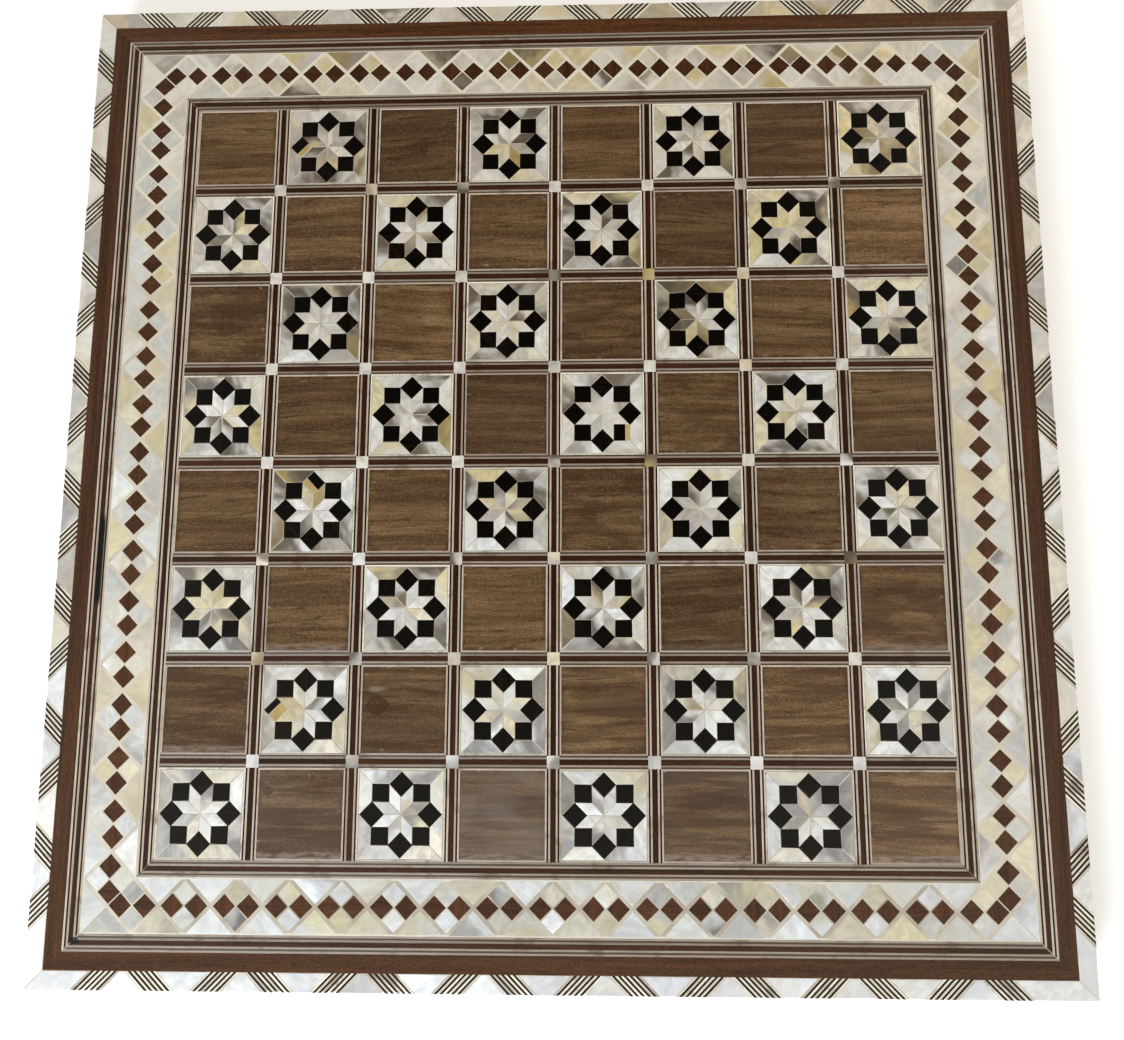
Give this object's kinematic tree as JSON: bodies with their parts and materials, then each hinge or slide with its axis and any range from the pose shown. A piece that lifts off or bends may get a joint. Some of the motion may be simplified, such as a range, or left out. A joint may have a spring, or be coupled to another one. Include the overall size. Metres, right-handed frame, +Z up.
{
  "type": "chessboard",
  "caption": "Flat square chessboard inlaid with pearl stars, walnut squares, striped stringing, a diamond chain border and a zigzag edge band, in mitred wooden rails.",
  "frame": {"origin": "centre of the underside of the felt lining, on the surface that the board lies on", "axes": "+Z up out of the playing surface, +Y to the far side as in the picture, +X to the right"},
  "size_m": [0.401, 0.401, 0.02],
  "materials": {
    "core_panel": "plain beech panel",
    "glue_bed": "cream glue and chalk bed",
    "base_lining": "dark green wool felt",
    "edge_rail_front": "lacquered mahogany",
    "edge_rail_back": "lacquered mahogany",
    "edge_rail_left": "lacquered mahogany",
    "edge_rail_right": "lacquered mahogany",
    "walnut_squares": "lacquered walnut",
    "square_frames": "lacquered pale stringing",
    "star_rhombs": "polished mother of pearl under lacquer",
    "star_black_diamonds": "ebony black under lacquer",
    "star_black_squares": "ebony black under lacquer",
    "star_mending_pearls": "golden mother of pearl under lacquer",
    "star_corner_pearls": "polished mother of pearl under lacquer",
    "lane_brown_strips": "dark brown stringing",
    "lane_white_plies": "lacquered pale stringing",
    "lane_black_plies": "dyed black stringing",
    "crossing_pearls": "polished mother of pearl under lacquer",
    "inner_string_white": "lacquered pale stringing",
    "inner_string_black": "dyed black stringing",
    "inner_string_brown": "dark brown stringing",
    "chain_brown_squares": "lacquered mahogany",
    "chain_pearl_squares": "polished mother of pearl under lacquer",
    "border_outer_pearls": "polished mother of pearl under lacquer",
    "border_inner_pearls": "polished mother of pearl under lacquer",
    "border_corner_pearls": "golden mother of pearl under lacquer",
    "border_paste": "pale joint paste",
    "outer_string_white": "lacquered pale stringing",
    "outer_string_black": "dyed black stringing",
    "outer_string_brown": "dark brown stringing",
    "string_mitre_paste": "pale joint paste",
    "band_black_plies": "dyed black stringing",
    "band_white_plies": "lacquered pale stringing",
    "band_small_pearls": "polished mother of pearl under lacquer",
    "band_large_pearls": "polished mother of pearl under lacquer",
    "band_corner_pearls": "polished mother of pearl under lacquer"
  },
  "bodies": {
    "root": {"core_panel": "core_panel", "glue_bed": "glue_bed", "base_lining": "base_lining", "edge_rail_front": "edge_rail_front", "edge_rail_back": "edge_rail_back", "edge_rail_left": "edge_rail_left", "edge_rail_right": "edge_rail_right", "walnut_squares": "walnut_squares", "square_frames": "square_frames", "star_rhombs": "star_rhombs", "star_black_diamonds": "star_black_diamonds", "star_black_squares": "star_black_squares", "star_mending_pearls": "star_mending_pearls", "star_corner_pearls": "star_corner_pearls", "lane_brown_strips": "lane_brown_strips", "lane_white_plies": "lane_white_plies", "lane_black_plies": "lane_black_plies", "crossing_pearls": "crossing_pearls", "inner_string_white": "inner_string_white", "inner_string_black": "inner_string_black", "inner_string_brown": "inner_string_brown", "chain_brown_squares": "chain_brown_squares", "chain_pearl_squares": "chain_pearl_squares", "border_outer_pearls": "border_outer_pearls", "border_inner_pearls": "border_inner_pearls", "border_corner_pearls": "border_corner_pearls", "border_paste": "border_paste", "outer_string_white": "outer_string_white", "outer_string_black": "outer_string_black", "outer_string_brown": "outer_string_brown", "string_mitre_paste": "string_mitre_paste", "band_black_plies": "band_black_plies", "band_white_plies": "band_white_plies", "band_small_pearls": "band_small_pearls", "band_large_pearls": "band_large_pearls", "band_corner_pearls": "band_corner_pearls"}
  },
  "joints": []
}
